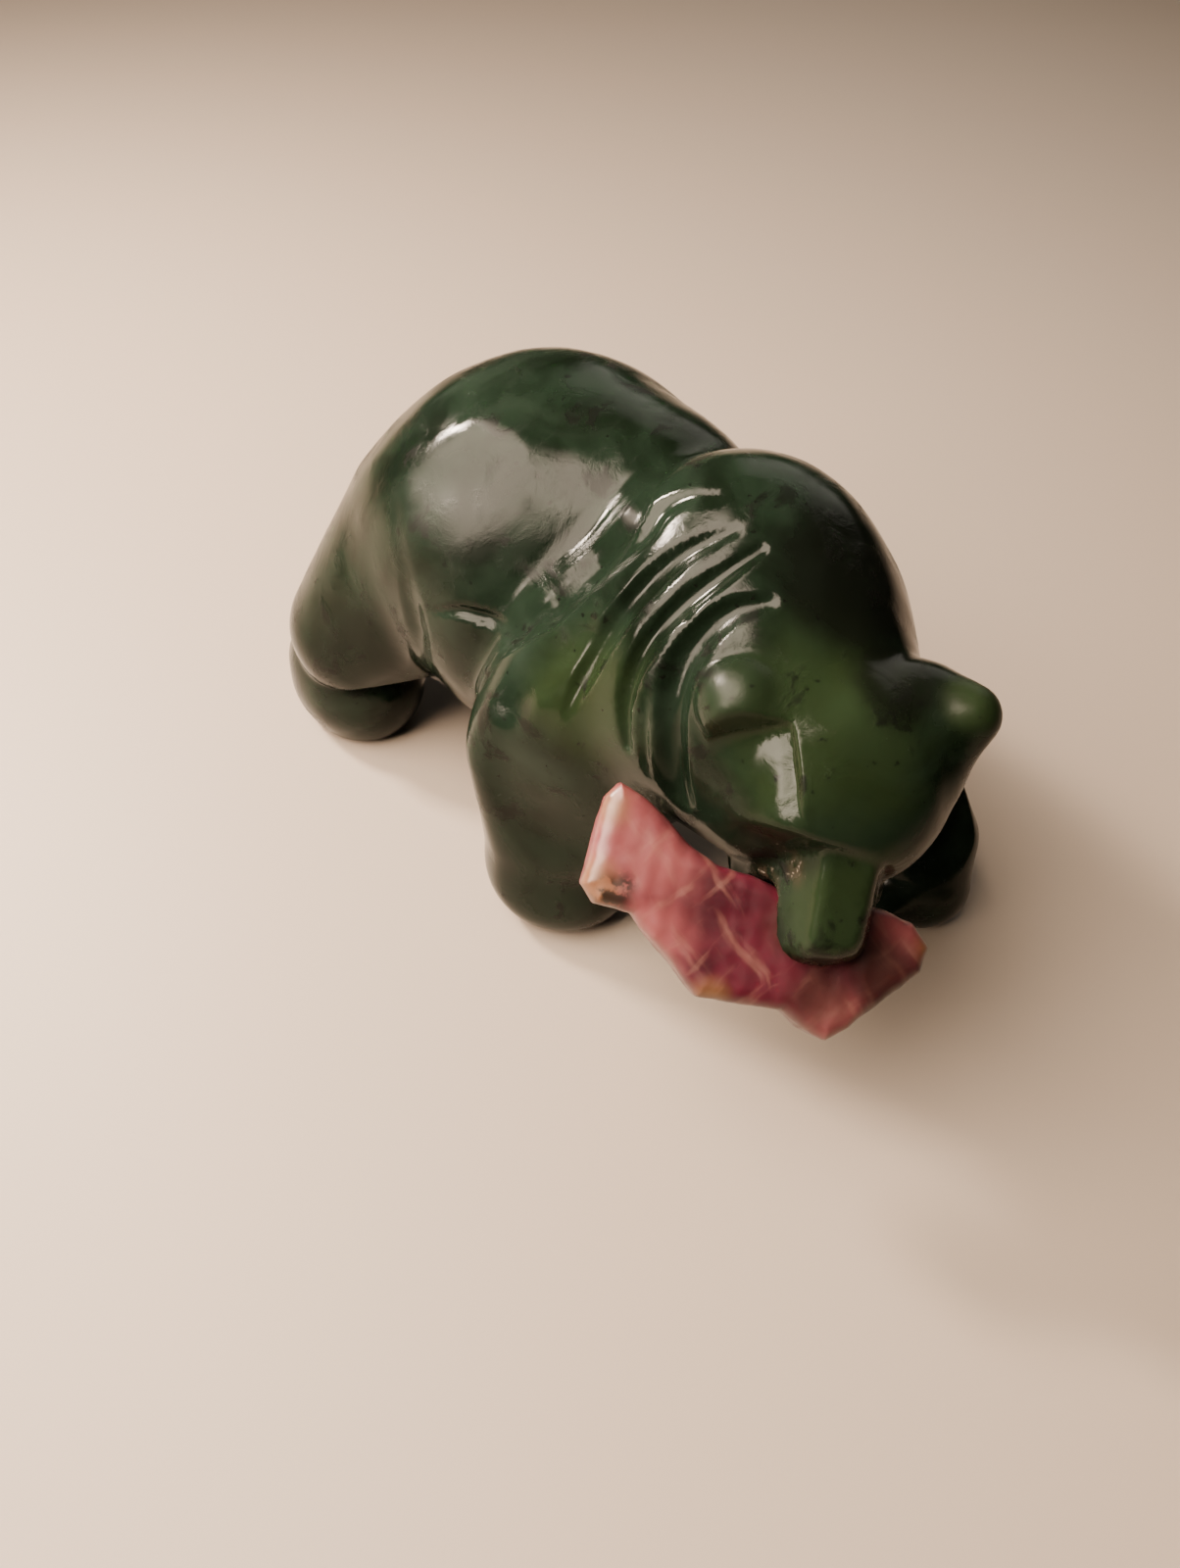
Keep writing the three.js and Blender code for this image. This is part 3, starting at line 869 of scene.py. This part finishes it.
class Painter:
    """Builds one material's patterns."""

    def __init__(self, name: str) -> None:
        """Starts a material with an empty tree.

        Args:
            name: the material's name.
        """
        self.material = bpy.data.materials.new(name)
        self.material.use_nodes = True
        self.tree = self.material.node_tree
        self.tree.nodes.clear()
        self.place = add_node(self.tree, "ShaderNodeTexCoord").outputs["Object"]

    def layer(self, cloud: Cloud, place: Socket | None = None) -> tuple[Socket, Socket]:
        """Draws a cloudy pattern.

        Args:
            cloud: the pattern.
            place: where it is read, if not at the plain object coordinates.

        Returns:
            The plain noise, and the part of it that shows as a mask.
        """
        noise = add_node(self.tree, "ShaderNodeTexNoise", cloud.noise(), {"Vector": place or self.place})
        shown = add_node(self.tree, "ShaderNodeMapRange", cloud.shown(), {"Value": noise.outputs["Fac"]},
                         interpolation_type="SMOOTHSTEP")
        return noise.outputs["Fac"], shown.outputs["Result"]

    def streaks(self, cloud: Cloud, axes: Array, bends: Bends, turn: float) -> Socket:
        """Draws a pattern out along given axes and bends it, for veins.

        Args:
            cloud: the pattern.
            axes: the axes, as columns.
            bends: how many times longer it is along each, and the size and reach of its bends.
            turn: degrees by which the streaks are turned about the third axis.

        Returns:
            The pattern as a mask.
        """
        stretch, wave, reach = bends
        spun = axes @ turned(turn, 0, 0)
        away = add_node(self.tree, "ShaderNodeTexNoise", {"Scale": per_metre(wave), "Detail": 3.0},
                        {"Vector": self.place}).outputs["Color"]
        off = add_node(self.tree, "ShaderNodeVectorMath", {1: (0.5, 0.5, 0.5)}, {0: away},
                       operation="SUBTRACT")
        scaled = add_node(self.tree, "ShaderNodeVectorMath", {"Scale": reach * MM}, {0: off.outputs[0]},
                          operation="SCALE")
        moved = add_node(self.tree, "ShaderNodeVectorMath", {}, {0: self.place, 1: scaled.outputs[0]},
                         operation="ADD").outputs[0]
        parts = {}
        for number, axis in enumerate("XYZ"):
            way = tuple(float(c) for c in spun[:, number] / stretch[number])
            dot = add_node(self.tree, "ShaderNodeVectorMath", {1: way}, {0: moved}, operation="DOT_PRODUCT")
            parts[axis] = dot.outputs["Value"]
        place = add_node(self.tree, "ShaderNodeCombineXYZ", {}, parts).outputs[0]
        return self.layer(cloud, place)[1]

    def most(self, masks: list[Socket]) -> Socket:
        """The largest of some masks.

        Args:
            masks: the masks.

        Returns:
            Their largest value at each place.
        """
        out = masks[0]
        for other in masks[1:]:
            out = add_node(self.tree, "ShaderNodeMath", {}, {0: out, 1: other},
                           operation="MAXIMUM").outputs[0]
        return out

    def patches(self, places: tuple[Patch, ...], wander: Socket) -> Socket:
        """Draws round patches whose edges wander.

        Args:
            places: each patch's middle in the layout, its radius and the width of its edge.
            wander: noise that moves the edges in and out.

        Returns:
            One inside any patch, nought outside all.
        """
        masks = []
        for at, reach, soft in places:
            middle = [(a - m) * MM for a, m in zip(at, LAYOUT_MIDDLE)]
            away = add_node(self.tree, "ShaderNodeVectorMath", {1: middle}, {0: self.place},
                            operation="DISTANCE").outputs["Value"]
            off = add_node(self.tree, "ShaderNodeMath", {1: 0.5}, {0: wander}, operation="SUBTRACT")
            shift = add_node(self.tree, "ShaderNodeMath", {1: reach * MM}, {0: off.outputs[0]},
                             operation="MULTIPLY")
            edge = add_node(self.tree, "ShaderNodeMath", {}, {0: away, 1: shift.outputs[0]}, operation="ADD")
            values = {"From Min": (reach - soft / 2) * MM, "From Max": (reach + soft / 2) * MM,
                      "To Min": 1.0, "To Max": 0.0}
            masks.append(add_node(self.tree, "ShaderNodeMapRange", values, {"Value": edge.outputs[0]},
                                  interpolation_type="SMOOTHSTEP").outputs["Result"])
        return self.most(masks)

    def broken(self, mask: Socket, cloud: Cloud) -> Socket:
        """Breaks a mask up by a cloudy pattern.

        Args:
            mask: the mask.
            cloud: the pattern that it is left in.

        Returns:
            The broken mask.
        """
        return add_node(self.tree, "ShaderNodeMath", {}, {0: mask, 1: self.layer(cloud)[1]},
                        operation="MULTIPLY").outputs[0]

    def ground(self, cloud: Cloud, dark: str, light: str) -> Socket:
        """Draws a stone's ground, which goes from one colour to another in clouds.

        Args:
            cloud: the clouds.
            dark: hex colour where they are low.
            light: hex colour where they are high.

        Returns:
            The colour.
        """
        return add_node(self.tree, "ShaderNodeMix", {6: linear(dark), 7: linear(light)},
                        {"Factor": self.layer(cloud)[1]}, data_type="RGBA").outputs[2]

    def cover(self, colour: Socket, over: str, mask: Socket, share: float) -> Socket:
        """Lays a colour on another wherever a mask is one.

        Args:
            colour: the lower colour.
            over: hex colour of the upper one.
            mask: where it lies.
            share: how much of it shows.

        Returns:
            The changed colour.
        """
        factor = add_node(self.tree, "ShaderNodeMath", {1: share}, {0: mask}, operation="MULTIPLY")
        return add_node(self.tree, "ShaderNodeMix", {7: linear(over)},
                        {"Factor": factor.outputs[0], 6: colour}, data_type="RGBA").outputs[2]

    def rougher(self, rough: Socket, mask: Socket, by: float) -> Socket:
        """Makes a surface rougher wherever a mask is one.

        Args:
            rough: the roughness so far.
            mask: where it grows.
            by: how much it grows.

        Returns:
            The changed roughness.
        """
        more = add_node(self.tree, "ShaderNodeMath", {1: by}, {0: mask}, operation="MULTIPLY")
        return add_node(self.tree, "ShaderNodeMath", {}, {0: rough, 1: more.outputs[0]},
                        operation="ADD").outputs[0]

    def finish(self, values: dict, links: dict,
               bumps: tuple[tuple[Socket, float], ...]) -> bpy.types.Material:
        """Adds the shader.

        Args:
            values: plain values of the shader's sockets.
            links: what its sockets are linked to.
            bumps: heights and how many millimetres each stands for.

        Returns:
            The finished material.
        """
        normal = None
        for height, depth in bumps:
            under = {"Normal": normal} if normal is not None else {}
            normal = add_node(self.tree, "ShaderNodeBump", {"Strength": 1.0, "Distance": depth * MM},
                              {"Height": height, **under}).outputs["Normal"]
        if normal is not None:
            links = {**links, "Normal": normal}
        shader = add_node(self.tree, "ShaderNodeBsdfPrincipled", values, links)
        add_node(self.tree, "ShaderNodeOutputMaterial", {}, {"Surface": shader.outputs["BSDF"]})
        return self.material


@dataclass(frozen=True)
class PolishedNephrite:
    """Nephrite jade, ground and polished by hand: a deep glassy green with clouds and black grains.

    The gloss gives sharp but slightly wavy reflections, and light goes a little way into the stone. The
    polish is duller in clouds and where hands have worn it, and dried glue with pale crumbs is left where
    the fish is set. The gloss is kept low, because the photograph's lit table hardly shows in the stone.
    """

    name: str = "polished_nephrite"
    deep: str = "#091009"
    green: str = "#121c14"
    olive: str = "#1f2a16"
    grey_green: str = "#212b23"
    black: str = "#090b08"
    glue: str = "#3a2f26"
    crumbs: str = "#a89c90"
    refraction: float = 1.62
    gloss: float = 0.10
    clouds: Cloud = Cloud(13.0, 6, 0.6, 0.8, low=0.36, high=0.64)
    milk: Cloud = Cloud(21.0, 4, 0.5, 1.2, low=0.5, high=0.72)
    wander: Cloud = Cloud(9.0, 4, 0.6)
    inclusions: Cloud = Cloud(5.0, 5, 0.6, 0.5, low=0.58, high=0.67)
    grains: Cloud = Cloud(1.3, 2, 0.5, low=0.68, high=0.75)
    # The waves of the last polish, whose range is the roughness itself, and the duller clouds in it
    polish: Cloud = Cloud(3.2, 5, 0.65, low=0.35, high=0.75, to_low=0.10, to_high=0.17)
    dullness: Cloud = Cloud(5.0, 6, 0.62, 0.6, low=0.45, high=0.70)
    glue_left: Cloud = Cloud(1.8, 4, 0.65, low=0.36, high=0.56)
    crumbs_left: Cloud = Cloud(0.9, 3, 0.6, low=0.62, high=0.68)
    # Forehead, snout, right shoulder and the tip of the left ear
    olive_at: tuple[Patch, ...] = (
        ((-3, -43, 57), 11, 9), ((-4, -55, 40), 7, 6), ((-17, -20, 46), 8, 8), ((11.5, -47.9, 58.5), 4, 3),
    )
    # Painted shade: black patches on the nape, the crown beside the left ear and the left foreleg, on the
    # side away from the lights
    black_at: tuple[Patch, ...] = (((8.5, -31, 62), 9, 5), ((7, -42, 57.5), 5.5, 4), ((29, -36, 20), 9, 5))
    # Two on the rump, then the left and the right ear
    worn_at: tuple[Patch, ...] = (
        ((-19, 12, 50), 9, 5), ((-13, 4, 52), 5, 4), ((11.5, -47.9, 58.5), 5, 3), ((-8.4, -36.3, 57), 4.5, 4),
    )
    # Along the mouth on the right side
    glue_at: tuple[Patch, ...] = (
        ((-7.1, -46.1, 34.3), 3.2, 2.5), ((-4.7, -41.5, 30.0), 3.0, 2.5), ((-8.9, -47.8, 41.7), 1.8, 2.0),
    )

    def stone(self, paint: Painter, wander: Socket) -> Socket:
        """The stone's own colour, with black patches of painted shade on the side away from the lights.

        Args:
            paint: the material's painter.
            wander: noise that moves the patches' edges.

        Returns:
            The colour.
        """
        colour = paint.ground(self.clouds, self.deep, self.green)
        colour = paint.cover(colour, self.grey_green, paint.layer(self.milk)[1], 0.55)
        colour = paint.cover(colour, self.olive, paint.patches(self.olive_at, wander), 0.5)
        # Painted shade: black patches where the far side lies away from the lights
        colour = paint.cover(colour, self.black, paint.patches(self.black_at, wander), 0.85)
        specks = paint.most([paint.layer(self.inclusions)[1], paint.layer(self.grains)[1]])
        return paint.cover(colour, self.black, specks, 0.8)

    def build(self) -> bpy.types.Material:
        """Makes the material.

        Returns:
            The material.
        """
        paint = Painter(self.name)
        wander = add_node(paint.tree, "ShaderNodeTexNoise", self.wander.noise(),
                          {"Vector": paint.place}).outputs["Fac"]
        fine, rough = paint.layer(self.polish)
        dull = paint.layer(self.dullness)[1]
        rough = paint.rougher(rough, dull, 0.20)
        rough = paint.rougher(rough, paint.patches(self.worn_at, wander), 0.20)
        glue = paint.broken(paint.patches(self.glue_at, wander), self.glue_left)
        rough = paint.rougher(rough, glue, 0.30)
        colour = paint.cover(self.stone(paint, wander), self.glue, glue, 0.75)
        colour = paint.cover(colour, self.crumbs, paint.broken(glue, self.crumbs_left), 0.9)
        return paint.finish(
            {"IOR": self.refraction, "Specular IOR Level": self.gloss, "Subsurface Weight": 0.06,
             "Subsurface Radius": (0.5, 1.0, 0.5), "Subsurface Scale": 0.0015},
            {"Base Color": colour, "Roughness": rough},
            ((fine, 0.015), (dull, 0.03)),
        )


@dataclass(frozen=True)
class SawnRhodonite:
    """Pink rhodonite sawn into a slab and rubbed smooth: rose clouds, a pale tail, tan and black patches.

    Pale veins cross it slantwise, and the satin gloss leaves only wide, soft highlights.
    """

    name: str = "satin_rhodonite"
    rose: str = "#43131f"
    deep: str = "#290a13"
    pale: str = "#743d40"
    cream: str = "#876358"
    tan: str = "#6b4e30"
    brown: str = "#301b18"
    black: str = "#16130f"
    refraction: float = 1.73
    gloss: float = 0.28
    clouds: Cloud = Cloud(11.0, 5, 0.55, 0.6, low=0.34, high=0.66)
    wander: Cloud = Cloud(6.0, 4, 0.6)
    veins: Cloud = Cloud(2.2, 3, low=0.52, high=0.72)
    threads: Cloud = Cloud(1.8, 3, low=0.56, high=0.74)
    rubbing: Cloud = Cloud(1.2, 4, 0.6, low=0.3, high=0.7, to_low=0.30, to_high=0.42)
    black_left: Cloud = Cloud(1.6, 3, 0.6, low=0.40, high=0.55)
    vein_bends: Bends = ((5.0, 1.0, 5.0), 8.0, 3.0)
    vein_turn: float = -58
    thread_turn: float = 38
    pale_at: tuple[Spot, ...] = (
        (-25, 9, 7.5, 8), (-19.5, 5, 5, 7), (-20, -2, 4.5, 6), (9, -1, 3.5, 5), (1, -12, 3, 4),
    )
    tan_at: tuple[Spot, ...] = (
        (-26, 2.5, 2.8, 3.5), (-24, 11, 1.8, 3), (-13, -9.5, 1.8, 3), (11.5, -4, 1.2, 3),
    )
    brown_at: tuple[Spot, ...] = ((-1, -9.5, 3.6, 5), (6, -6.5, 4.0, 5), (-4, -2, 2.5, 4))
    black_at: tuple[Spot, ...] = ((-23.6, 1.6, 1.9, 2.4), (-22.4, 2.6, 1.2, 2.0))
    slab: FishSlab = FishSlab()

    def spots(self, paint: Painter, places: tuple[Spot, ...], wander: Socket) -> Socket:
        """Spots on the slab's upper side as one mask.

        Args:
            paint: the material's painter.
            places: the spots.
            wander: noise that moves their edges.

        Returns:
            One inside any spot, nought outside all.
        """
        on_slab = tuple((self.slab.on_top(x, y), reach, soft) for x, y, reach, soft in places)
        return paint.patches(on_slab, wander)

    def build(self) -> bpy.types.Material:
        """Makes the material.

        Returns:
            The material.
        """
        paint = Painter(self.name)
        wander = add_node(paint.tree, "ShaderNodeTexNoise", self.wander.noise(),
                          {"Vector": paint.place}).outputs["Fac"]
        fine, rough = paint.layer(self.rubbing)
        axes = self.slab.axes()
        veins = paint.streaks(self.veins, axes, self.vein_bends, self.vein_turn)
        threads = paint.streaks(self.threads, axes, self.vein_bends, self.thread_turn)
        black = paint.broken(self.spots(paint, self.black_at, wander), self.black_left)
        colour = paint.ground(self.clouds, self.deep, self.rose)
        colour = paint.cover(colour, self.pale, self.spots(paint, self.pale_at, wander), 0.85)
        colour = paint.cover(colour, self.cream, veins, 0.30)
        colour = paint.cover(colour, self.cream, threads, 0.25)
        colour = paint.cover(colour, self.tan, self.spots(paint, self.tan_at, wander), 0.7)
        colour = paint.cover(colour, self.brown, self.spots(paint, self.brown_at, wander), 0.75)
        colour = paint.cover(colour, self.black, black, 0.9)
        return paint.finish(
            {"IOR": self.refraction, "Specular IOR Level": self.gloss, "Subsurface Weight": 0.15,
             "Subsurface Radius": (1.0, 0.5, 0.4), "Subsurface Scale": 0.0012},
            {"Base Color": colour, "Roughness": rough},
            ((fine, 0.02),),
        )


@dataclass(frozen=True)
class PaleTable:
    """A plain pale painted top: even and matt, so that shadows read on it."""

    name: str = "pale_tabletop"
    colour: str = "#978a7d"
    roughness: float = 0.55

    def build(self) -> bpy.types.Material:
        """Makes the material."""
        values = {"Base Color": linear(self.colour), "Roughness": self.roughness}
        return Painter(self.name).finish(values, {}, ())


# Pieces


@dataclass(frozen=True)
class Bear:
    """The bear: one block of nephrite."""

    node: str = "bear"
    name: str = "nephrite_bear"
    face: float = 0.6 * MM
    finish: PolishedNephrite = PolishedNephrite()
    form: BearForm = BearForm()

    def build(self) -> bpy.types.Object:
        """Carves and dresses the bear.

        Returns:
            The finished piece.
        """
        piece = fine_copy(self.node, self.name, self.face)
        carve(piece, self.form)
        piece.data.materials.clear()
        piece.data.materials.append(self.finish.build())
        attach(piece, BODY)
        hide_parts(self.node)
        return piece


@dataclass(frozen=True)
class FishForm:
    """The fish as one field: the slab with the unevenness of sawing and rubbing."""

    slab: FishSlab = FishSlab()
    ripples: tuple[Ripple, ...] = (Ripple(9.0, 0.08), Ripple(3.0, 0.03))

    def field(self, p: Array) -> Array:
        """The fish's field.

        Args:
            p: points in the layout.

        Returns:
            Distances, negative inside the slab.
        """
        d = self.slab.field(p)
        for ripple in self.ripples:
            d = d + ripple.field(p)
        return d


@dataclass(frozen=True)
class Fish:
    """The fish: one thin slab of rhodonite held in the slot of the mouth."""

    node: str = "fish"
    name: str = "rhodonite_fish"
    face: float = 0.35 * MM
    finish: SawnRhodonite = SawnRhodonite()
    form: FishForm = FishForm()

    def build(self) -> bpy.types.Object:
        """Carves and dresses the fish.

        Returns:
            The finished piece.
        """
        piece = fine_copy(self.node, self.name, self.face)
        carve(piece, self.form, 2)
        piece.data.materials.clear()
        piece.data.materials.append(self.finish.build())
        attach(piece, BODY)
        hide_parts(self.node)
        return piece


# Studio


def direction(azimuth: float, elevation: float) -> Vector:
    """The way from the carving toward something around it.

    Args:
        azimuth: degrees from the front (-y) toward the carving's left (+x).
        elevation: degrees above the table.

    Returns:
        A vector of length one.
    """
    a, e = math.radians(azimuth), math.radians(elevation)
    return Vector((math.sin(a) * math.cos(e), -math.cos(a) * math.cos(e), math.sin(e)))


@dataclass(frozen=True)
class Panel:
    """One soft light panel, seen from the carving in a direction at a distance in metres.

    Its glow falls to nothing over the outer share, soft, of each half, as a cloth-fronted box's does.
    """

    name: str
    azimuth: float
    elevation: float
    distance: float
    width: float
    height: float
    radiance: float
    colour: str
    soft: float = 0.45
    aim_height: float = 0.03

    def fade(self, light: bpy.types.Light) -> None:
        """Lets the panel grow dimmer toward its rim.

        Args:
            light: the panel's light.
        """
        light.use_nodes = True
        tree = light.node_tree
        tree.nodes.clear()
        place = add_node(tree, "ShaderNodeNewGeometry").outputs["Parametric"]
        parts = add_node(tree, "ShaderNodeSeparateXYZ", {}, {0: place})
        strength = None
        for axis in ("X", "Y"):
            doubled = add_node(tree, "ShaderNodeMath", {1: 2.0, 2: -1.0}, {0: parts.outputs[axis]},
                               operation="MULTIPLY_ADD")
            off = add_node(tree, "ShaderNodeMath", {}, {0: doubled.outputs[0]}, operation="ABSOLUTE")
            values = {"From Min": 1.0, "From Max": 1.0 - self.soft, "To Min": 0.0, "To Max": 1.0}
            edge = add_node(tree, "ShaderNodeMapRange", values, {"Value": off.outputs[0]},
                            interpolation_type="SMOOTHSTEP").outputs["Result"]
            if strength is None:
                strength = edge
            else:
                strength = add_node(tree, "ShaderNodeMath", {}, {0: strength, 1: edge},
                                    operation="MULTIPLY").outputs[0]
        glow = add_node(tree, "ShaderNodeEmission", {}, {"Strength": strength})
        add_node(tree, "ShaderNodeOutputLight", {}, {"Surface": glow.outputs[0]})

    def build(self) -> bpy.types.Object:
        """Adds the light, facing the carving.

        Returns:
            The light's object.
        """
        way = direction(self.azimuth, self.elevation)
        light = bpy.data.lights.new(self.name, "AREA")
        light.shape = "RECTANGLE"
        light.size = self.width
        light.size_y = self.height
        light.energy = self.radiance * math.pi * self.width * self.height
        light.color = linear(self.colour)[:3]
        self.fade(light)
        lamp = bpy.data.objects.new(self.name, light)
        lamp.location = way * self.distance + Vector((0, 0, self.aim_height))
        lamp.rotation_mode = "QUATERNION"
        lamp.rotation_quaternion = way.to_track_quat("Z", "Y")
        bpy.context.scene.collection.objects.link(lamp)
        return lamp


@dataclass(frozen=True)
class Studio:
    """The pale floor, the room, the soft lights and the camera."""

    floor_half: float = 1.2
    dark_room: str = "#2c2824"
    light_room: str = "#aaa9a6"
    room_strength: float = 0.38
    # The way to the room's pale side, and how much of it is faced where the blend starts and ends
    room_way: Place = (-0.80, 0.48, 0.36)
    room_blend: tuple[float, float] = (-0.1, 0.95)
    camera_azimuth: float = -36
    camera_elevation: float = 50
    camera_roll: float = 6
    camera_distance: float = 0.174
    camera_lens: float = 25.0
    camera_nearest: float = 0.01
    # The big box's sheen on the back, the bright band on the crest, the far side, and the cast shadow
    panels: tuple[Panel, ...] = (
        Panel("large_light_box", -102, 53, 0.34, 0.38, 0.38, 23.0, "#ffe8d0"),
        Panel("low_light_box", -90, 22, 0.50, 0.20, 0.14, 34.0, "#ffe9d2", 0.6),
        Panel("fill_card", 122, 28, 0.60, 0.60, 0.45, 1.2, "#f4ece0"),
        Panel("key_light", -148, 36, 0.34, 0.05, 0.05, 600.0, "#ffe9d4", 0.2),
    )

    def build_floor(self) -> bpy.types.Object:
        """Adds the floor that the carving stands on.

        Returns:
            The floor.
        """
        mesh = bpy.data.meshes.new("tabletop")
        bm = bmesh.new()
        bmesh.ops.create_grid(bm, x_segments=1, y_segments=1, size=self.floor_half)
        bm.to_mesh(mesh)
        bm.free()
        floor = bpy.data.objects.new("tabletop", mesh)
        mesh.materials.append(PaleTable().build())
        bpy.context.scene.collection.objects.link(floor)
        return floor

    def build_room(self) -> None:
        """Adds the room: pale on the carving's right, dark on its left."""
        world = bpy.data.worlds.new("room")
        world.use_nodes = True
        tree = world.node_tree
        tree.nodes.clear()
        way = add_node(tree, "ShaderNodeTexCoord").outputs["Generated"]
        toward = tuple(Vector(self.room_way).normalized())
        facing = add_node(tree, "ShaderNodeVectorMath", {1: toward}, {0: way}, operation="DOT_PRODUCT")
        low, high = self.room_blend
        values = {"From Min": low, "From Max": high, "To Min": 0.0, "To Max": 1.0}
        pale = add_node(tree, "ShaderNodeMapRange", values, {"Value": facing.outputs["Value"]},
                        interpolation_type="SMOOTHSTEP")
        colour = add_node(tree, "ShaderNodeMix", {6: linear(self.dark_room), 7: linear(self.light_room)},
                          {"Factor": pale.outputs["Result"]}, data_type="RGBA")
        light = add_node(tree, "ShaderNodeBackground", {"Strength": self.room_strength},
                         {"Color": colour.outputs[2]})
        add_node(tree, "ShaderNodeOutputWorld", {}, {"Surface": light.outputs[0]})
        bpy.context.scene.world = world

    def build_camera(self) -> bpy.types.Object:
        """Adds the camera at the photograph's angle.

        Returns:
            The camera.
        """
        back = direction(self.camera_azimuth, self.camera_elevation)
        turn = math.radians(self.camera_azimuth)
        right = Vector((math.cos(turn), math.sin(turn), 0))
        up = back.cross(right)
        roll = math.radians(self.camera_roll)
        across = right * math.cos(roll) + up * math.sin(roll)
        upward = up * math.cos(roll) - right * math.sin(roll)
        target = -Vector(LAYOUT_MIDDLE) * MM
        data = bpy.data.cameras.new("camera")
        data.lens = self.camera_lens
        data.clip_start = self.camera_nearest
        camera = bpy.data.objects.new("camera", data)
        pose = Matrix((across, upward, back)).transposed().to_4x4()
        camera.matrix_world = Matrix.Translation(target + back * self.camera_distance) @ pose
        bpy.context.scene.collection.objects.link(camera)
        bpy.context.scene.camera = camera
        return camera

    def build(self) -> None:
        """Builds the floor, the room, the lights and the camera."""
        self.build_floor()
        self.build_room()
        for panel in self.panels:
            panel.build()
        self.build_camera()


def main() -> None:
    """Builds the studio and the two pieces, and reports each."""
    Studio().build()
    LOG.info("strokes: %s", "; ".join(stroke.name for stroke in FOLDS))
    for maker in (Bear(), Fish()):
        piece = maker.build()
        LOG.info("%s: %d faces", piece.name, len(piece.data.polygons))


if __name__ == "__main__":
    main()
